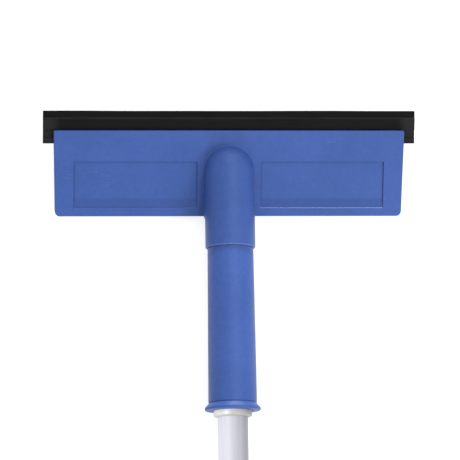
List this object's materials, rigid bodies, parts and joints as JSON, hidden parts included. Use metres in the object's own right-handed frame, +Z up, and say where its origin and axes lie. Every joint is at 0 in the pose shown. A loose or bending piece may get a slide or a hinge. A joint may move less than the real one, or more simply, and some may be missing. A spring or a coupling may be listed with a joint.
{
  "type": "window squeegee",
  "caption": "Window cleaning squeegee: a rubber strip in a wide moulded head on a bent round hub, with a grip sleeve that takes the plug of a thin pole with a hanging eye.",
  "frame": {"origin": "on the surface the squeegee lies on, below the middle of its bounding box", "axes": "+Y along the handle towards the blade, +Z up and out of the working side, X along the blade; the squeegee lies on its back"},
  "size_m": [0.25, 0.683, 0.0385],
  "materials": {
    "blue_plastic": "moulded polypropylene, satin",
    "black_rubber": "extruded rubber, matt",
    "white_plastic": "moulded polypropylene, satin",
    "coated_steel": "smooth light coating on a steel tube",
    "zinc_steel": "zinc-plated steel"
  },
  "bodies": {
    "head": {"front_shell": "blue_plastic", "rear_cover": "blue_plastic", "shell_screws": "zinc_steel", "grip_sleeve": "blue_plastic", "neck_screw": "zinc_steel"},
    "blade": {"rubber_blade": "black_rubber"},
    "pole": {"pole_tube": "coated_steel", "pole_plug": "white_plastic", "plug_pin": "zinc_steel", "pole_cap": "blue_plastic", "cap_pin": "zinc_steel"}
  },
  "joints": [
    {"name": "blade_slide", "type": "slide", "parent": "head", "child": "blade", "axis": [1, 0, 0], "range_m": [-0.25, 0.25]},
    {"name": "pole_pull", "type": "slide", "parent": "head", "child": "pole", "axis": [0, -0.9999, -0.0158], "range_m": [0, 0.064]}
  ]
}
